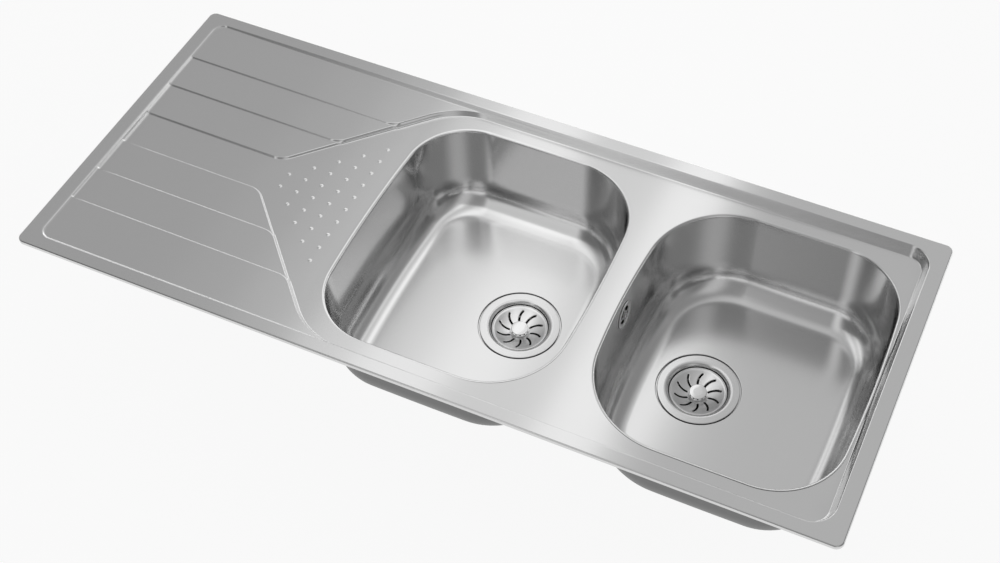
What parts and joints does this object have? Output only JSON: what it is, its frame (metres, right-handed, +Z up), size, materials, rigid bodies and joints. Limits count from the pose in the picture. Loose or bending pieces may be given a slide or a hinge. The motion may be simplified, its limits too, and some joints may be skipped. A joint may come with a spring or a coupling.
{
  "type": "double bowl kitchen sink",
  "caption": "Inset stainless steel kitchen sink with two deep bowls, a stepped drainer, basket strainer wastes, an overflow and swinging under-rim clips.",
  "frame": {"origin": "centre of the rim's outline, on the worktop's surface where the rim rests", "axes": "+X along the sink from the drainer to the bowls, +Y to the back, +Z up"},
  "size_m": [1.16, 0.5, 0.2349],
  "materials": {
    "deck_steel": "satin",
    "bowl_steel": "brushed satin",
    "waste_steel": "satin",
    "polished_steel": "polished",
    "zinc_steel": "zinc plated",
    "black_plastic": "moulded",
    "rubber_seal": "matt",
    "sealing_foam": "closed-cell foam",
    "sound_pad": "damping pad"
  },
  "bodies": {
    "sink": {"deck": "deck_steel", "left_bowl": "bowl_steel", "right_bowl": "bowl_steel", "left_sound_pad": "sound_pad", "right_sound_pad": "sound_pad", "rim_seal": "sealing_foam", "left_waste_flange": "waste_steel", "left_flange_seal": "sealing_foam", "left_body_seal": "rubber_seal", "left_waste_body": "black_plastic", "left_clamp_screw": "zinc_steel", "right_waste_flange": "waste_steel", "right_flange_seal": "sealing_foam", "right_body_seal": "rubber_seal", "right_waste_body": "black_plastic", "right_clamp_screw": "zinc_steel", "overflow_rosette": "polished_steel", "overflow_screw": "zinc_steel", "overflow_seal": "rubber_seal", "overflow_body": "black_plastic", "overflow_pipe": "black_plastic", "overflow_nut": "black_plastic", "front_rail": "zinc_steel", "back_rail": "zinc_steel", "left_rail": "zinc_steel", "right_rail": "zinc_steel", "clip_front_1_bracket": "zinc_steel", "clip_front_2_bracket": "zinc_steel", "clip_front_3_bracket": "zinc_steel", "clip_back_1_bracket": "zinc_steel", "clip_back_2_bracket": "zinc_steel", "clip_back_3_bracket": "zinc_steel", "clip_left_1_bracket": "zinc_steel", "clip_right_1_bracket": "zinc_steel"},
    "left_stopper": {"left_stopper": "rubber_seal"},
    "left_basket": {"left_basket": "polished_steel", "left_basket_knob": "polished_steel"},
    "right_stopper": {"right_stopper": "rubber_seal"},
    "right_basket": {"right_basket": "polished_steel", "right_basket_knob": "polished_steel"},
    "clip_front_1_screw": {"clip_front_1_screw": "zinc_steel"},
    "clip_front_1_claw": {"clip_front_1_claw": "zinc_steel"},
    "clip_front_2_screw": {"clip_front_2_screw": "zinc_steel"},
    "clip_front_2_claw": {"clip_front_2_claw": "zinc_steel"},
    "clip_front_3_screw": {"clip_front_3_screw": "zinc_steel"},
    "clip_front_3_claw": {"clip_front_3_claw": "zinc_steel"},
    "clip_back_1_screw": {"clip_back_1_screw": "zinc_steel"},
    "clip_back_1_claw": {"clip_back_1_claw": "zinc_steel"},
    "clip_back_2_screw": {"clip_back_2_screw": "zinc_steel"},
    "clip_back_2_claw": {"clip_back_2_claw": "zinc_steel"},
    "clip_back_3_screw": {"clip_back_3_screw": "zinc_steel"},
    "clip_back_3_claw": {"clip_back_3_claw": "zinc_steel"},
    "clip_left_1_screw": {"clip_left_1_screw": "zinc_steel"},
    "clip_left_1_claw": {"clip_left_1_claw": "zinc_steel"},
    "clip_right_1_screw": {"clip_right_1_screw": "zinc_steel"},
    "clip_right_1_claw": {"clip_right_1_claw": "zinc_steel"}
  },
  "joints": [
    {"name": "left_stopper_lift", "type": "slide", "parent": "sink", "child": "left_stopper", "axis": [0, 0, 1], "range_m": [0, 0.08]},
    {"name": "left_basket_turn", "type": "hinge", "parent": "left_stopper", "child": "left_basket", "pos_m": [0.0495, 0, -0.165], "axis": [0, 0, 1], "continuous": true},
    {"name": "right_stopper_lift", "type": "slide", "parent": "sink", "child": "right_stopper", "axis": [0, 0, 1], "range_m": [0, 0.08]},
    {"name": "right_basket_turn", "type": "hinge", "parent": "right_stopper", "child": "right_basket", "pos_m": [0.319, 0, -0.165], "axis": [0, 0, 1], "continuous": true},
    {"name": "clip_front_1_screw_travel", "type": "slide", "parent": "sink", "child": "clip_front_1_screw", "axis": [0, 0, 1], "range_m": [0, 0.011]},
    {"name": "clip_front_1_claw_swing", "type": "hinge", "parent": "clip_front_1_screw", "child": "clip_front_1_claw", "pos_m": [-0.43, -0.209, -0.0537], "axis": [0, 0, 1], "range_deg": [0, 90]},
    {"name": "clip_front_2_screw_travel", "type": "slide", "parent": "sink", "child": "clip_front_2_screw", "axis": [0, 0, 1], "range_m": [0, 0.011]},
    {"name": "clip_front_2_claw_swing", "type": "hinge", "parent": "clip_front_2_screw", "child": "clip_front_2_claw", "pos_m": [0, -0.209, -0.0537], "axis": [0, 0, 1], "range_deg": [0, 90]},
    {"name": "clip_front_3_screw_travel", "type": "slide", "parent": "sink", "child": "clip_front_3_screw", "axis": [0, 0, 1], "range_m": [0, 0.011]},
    {"name": "clip_front_3_claw_swing", "type": "hinge", "parent": "clip_front_3_screw", "child": "clip_front_3_claw", "pos_m": [0.43, -0.209, -0.0537], "axis": [0, 0, 1], "range_deg": [0, 90]},
    {"name": "clip_back_1_screw_travel", "type": "slide", "parent": "sink", "child": "clip_back_1_screw", "axis": [0, 0, 1], "range_m": [0, 0.011]},
    {"name": "clip_back_1_claw_swing", "type": "hinge", "parent": "clip_back_1_screw", "child": "clip_back_1_claw", "pos_m": [-0.43, 0.209, -0.0537], "axis": [0, 0, 1], "range_deg": [0, 90]},
    {"name": "clip_back_2_screw_travel", "type": "slide", "parent": "sink", "child": "clip_back_2_screw", "axis": [0, 0, 1], "range_m": [0, 0.011]},
    {"name": "clip_back_2_claw_swing", "type": "hinge", "parent": "clip_back_2_screw", "child": "clip_back_2_claw", "pos_m": [0, 0.209, -0.0537], "axis": [0, 0, 1], "range_deg": [0, 90]},
    {"name": "clip_back_3_screw_travel", "type": "slide", "parent": "sink", "child": "clip_back_3_screw", "axis": [0, 0, 1], "range_m": [0, 0.011]},
    {"name": "clip_back_3_claw_swing", "type": "hinge", "parent": "clip_back_3_screw", "child": "clip_back_3_claw", "pos_m": [0.43, 0.209, -0.0537], "axis": [0, 0, 1], "range_deg": [0, 90]},
    {"name": "clip_left_1_screw_travel", "type": "slide", "parent": "sink", "child": "clip_left_1_screw", "axis": [0, 0, 1], "range_m": [0, 0.011]},
    {"name": "clip_left_1_claw_swing", "type": "hinge", "parent": "clip_left_1_screw", "child": "clip_left_1_claw", "pos_m": [-0.5535, 0, -0.0537], "axis": [0, 0, 1], "range_deg": [0, 90]},
    {"name": "clip_right_1_screw_travel", "type": "slide", "parent": "sink", "child": "clip_right_1_screw", "axis": [0, 0, 1], "range_m": [0, 0.011]},
    {"name": "clip_right_1_claw_swing", "type": "hinge", "parent": "clip_right_1_screw", "child": "clip_right_1_claw", "pos_m": [0.5535, 0, -0.0537], "axis": [0, 0, 1], "range_deg": [0, 90]}
  ]
}
